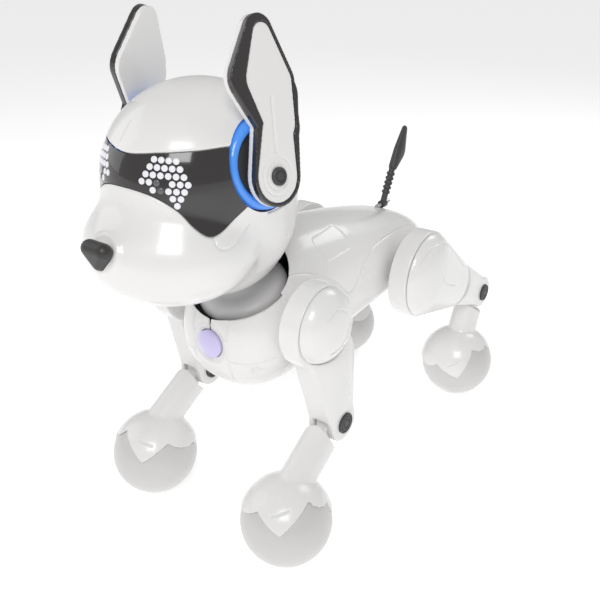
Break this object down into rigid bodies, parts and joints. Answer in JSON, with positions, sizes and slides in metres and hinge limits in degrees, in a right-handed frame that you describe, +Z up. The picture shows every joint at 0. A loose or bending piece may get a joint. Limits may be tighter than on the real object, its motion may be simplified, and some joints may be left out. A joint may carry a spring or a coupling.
{
  "type": "robot dog toy",
  "caption": "Walking toy robot dog: white moulded shells, turning and nodding head with lamp-eye visor, posable ears, hinged hips and knees, ball feet and a wagging tail.",
  "frame": {"origin": "on the floor under the middle of the standing dog's bounding box", "axes": "+Z up, the dog faces -Y, its left side is +X"},
  "size_m": [0.1632, 0.328, 0.3038],
  "materials": {
    "white_shell": "glossy injection-moulded",
    "pale_shell": "satin injection-moulded",
    "black_gloss": "gloss black",
    "black_matte": "matt black",
    "lamp_plastic": "clear diffusing lamp caps",
    "blue_light": "translucent blue light pipe",
    "lavender_lens": "translucent lavender",
    "motor_case": "moulded nylon",
    "circuit_board": "solder-masked board",
    "speaker_cone": "pressed cone and basket",
    "cell_wrap": "shrink-wrapped cells",
    "steel": "plain steel",
    "wheel_rubber": "moulded rubber"
  },
  "bodies": {
    "body": {"back_shell": "white_shell", "belly_shell": "white_shell", "battery_door": "white_shell", "battery_pack": "cell_wrap", "main_board": "circuit_board", "speaker": "speaker_cone", "leg_motors": "motor_case", "neck_motor": "motor_case", "chest_light": "lavender_lens", "body_screws": "steel", "tail_pin": "steel"},
    "switch": {"power_switch": "black_matte"},
    "tail": {"tail_stem": "black_matte", "tail_cover": "black_matte"},
    "neck": {"neck_column": "pale_shell", "neck_pin": "steel"},
    "head": {"head_dome": "white_shell", "jaw_shell": "white_shell", "visor": "black_gloss", "eye_board": "circuit_board", "eye_leds": "lamp_plastic", "nose": "black_gloss", "ear_light_rings": "blue_light", "ear_bezels": "black_matte"},
    "left_ear": {"left_ear_shell": "white_shell", "left_ear_frame": "black_gloss", "left_ear_panel": "pale_shell", "left_ear_pin": "black_matte"},
    "right_ear": {"right_ear_shell": "white_shell", "right_ear_frame": "black_gloss", "right_ear_panel": "pale_shell", "right_ear_pin": "black_matte"},
    "front_left_thigh": {"front_left_thigh_cover": "white_shell", "front_left_thigh_frame": "white_shell", "front_left_hip_shaft": "steel", "front_left_knee_pin": "black_matte"},
    "front_left_shin": {"front_left_shin": "white_shell", "front_left_foot_pad": "pale_shell"},
    "front_left_wheel": {"front_left_roller": "wheel_rubber"},
    "front_right_thigh": {"front_right_thigh_cover": "white_shell", "front_right_thigh_frame": "white_shell", "front_right_hip_shaft": "steel", "front_right_knee_pin": "black_matte"},
    "front_right_shin": {"front_right_shin": "white_shell", "front_right_foot_pad": "pale_shell"},
    "front_right_wheel": {"front_right_roller": "wheel_rubber"},
    "rear_left_thigh": {"rear_left_thigh_cover": "white_shell", "rear_left_thigh_frame": "white_shell", "rear_left_hip_shaft": "steel", "rear_left_knee_pin": "black_matte"},
    "rear_left_shin": {"rear_left_shin": "white_shell", "rear_left_foot_pad": "pale_shell"},
    "rear_left_wheel": {"rear_left_roller": "wheel_rubber"},
    "rear_right_thigh": {"rear_right_thigh_cover": "white_shell", "rear_right_thigh_frame": "white_shell", "rear_right_hip_shaft": "steel", "rear_right_knee_pin": "black_matte"},
    "rear_right_shin": {"rear_right_shin": "white_shell", "rear_right_foot_pad": "pale_shell"},
    "rear_right_wheel": {"rear_right_roller": "wheel_rubber"}
  },
  "joints": [
    {"name": "power_slide", "type": "slide", "parent": "body", "child": "switch", "axis": [0, 1, 0], "range_m": [0, 0.004]},
    {"name": "tail_wag", "type": "hinge", "parent": "body", "child": "tail", "pos_m": [0, 0.097, 0.156], "axis": [0, 1, 0], "range_deg": [-20, 20]},
    {"name": "head_turn", "type": "hinge", "parent": "body", "child": "neck", "pos_m": [0, -0.057, 0.1395], "axis": [0, -0.3746, 0.9272], "range_deg": [-40, 40]},
    {"name": "head_nod", "type": "hinge", "parent": "neck", "child": "head", "pos_m": [0, -0.07573, 0.18586], "axis": [1, 0, 0], "range_deg": [-8, 12]},
    {"name": "left_ear_turn", "type": "hinge", "parent": "head", "child": "left_ear", "pos_m": [0.0455, -0.089, 0.231], "axis": [0.9721, -0.1366, 0.1908], "range_deg": [-18, 18]},
    {"name": "right_ear_turn", "type": "hinge", "parent": "head", "child": "right_ear", "pos_m": [-0.0455, -0.089, 0.231], "axis": [-0.9721, -0.1366, 0.1908], "range_deg": [-18, 18]},
    {"name": "front_left_hip", "type": "hinge", "parent": "body", "child": "front_left_thigh", "pos_m": [0.043, -0.058, 0.139], "axis": [1, 0, 0], "range_deg": [-25, 25]},
    {"name": "front_left_knee", "type": "hinge", "parent": "front_left_thigh", "child": "front_left_shin", "pos_m": [0.0535, -0.045, 0.07], "axis": [1, 0, 0], "range_deg": [-6, 15]},
    {"name": "front_left_wheel_spin", "type": "hinge", "parent": "front_left_shin", "child": "front_left_wheel", "pos_m": [0.0545, -0.093, 0.008], "axis": [1, 0, 0], "continuous": true},
    {"name": "front_right_hip", "type": "hinge", "parent": "body", "child": "front_right_thigh", "pos_m": [-0.043, -0.058, 0.139], "axis": [1, 0, 0], "range_deg": [-25, 25]},
    {"name": "front_right_knee", "type": "hinge", "parent": "front_right_thigh", "child": "front_right_shin", "pos_m": [-0.0535, -0.045, 0.07], "axis": [1, 0, 0], "range_deg": [-6, 15]},
    {"name": "front_right_wheel_spin", "type": "hinge", "parent": "front_right_shin", "child": "front_right_wheel", "pos_m": [-0.0545, -0.093, 0.008], "axis": [1, 0, 0], "continuous": true},
    {"name": "rear_left_hip", "type": "hinge", "parent": "body", "child": "rear_left_thigh", "pos_m": [0.043, 0.064, 0.126], "axis": [1, 0, 0], "range_deg": [-20, 20]},
    {"name": "rear_left_knee", "type": "hinge", "parent": "rear_left_thigh", "child": "rear_left_shin", "pos_m": [0.0535, 0.152, 0.08], "axis": [1, 0, 0], "range_deg": [0, 12]},
    {"name": "rear_left_wheel_spin", "type": "hinge", "parent": "rear_left_shin", "child": "rear_left_wheel", "pos_m": [0.0545, 0.132, 0.008], "axis": [1, 0, 0], "continuous": true},
    {"name": "rear_right_hip", "type": "hinge", "parent": "body", "child": "rear_right_thigh", "pos_m": [-0.043, 0.064, 0.126], "axis": [1, 0, 0], "range_deg": [-20, 20]},
    {"name": "rear_right_knee", "type": "hinge", "parent": "rear_right_thigh", "child": "rear_right_shin", "pos_m": [-0.0535, 0.152, 0.08], "axis": [1, 0, 0], "range_deg": [0, 12]},
    {"name": "rear_right_wheel_spin", "type": "hinge", "parent": "rear_right_shin", "child": "rear_right_wheel", "pos_m": [-0.0545, 0.132, 0.008], "axis": [1, 0, 0], "continuous": true}
  ]
}
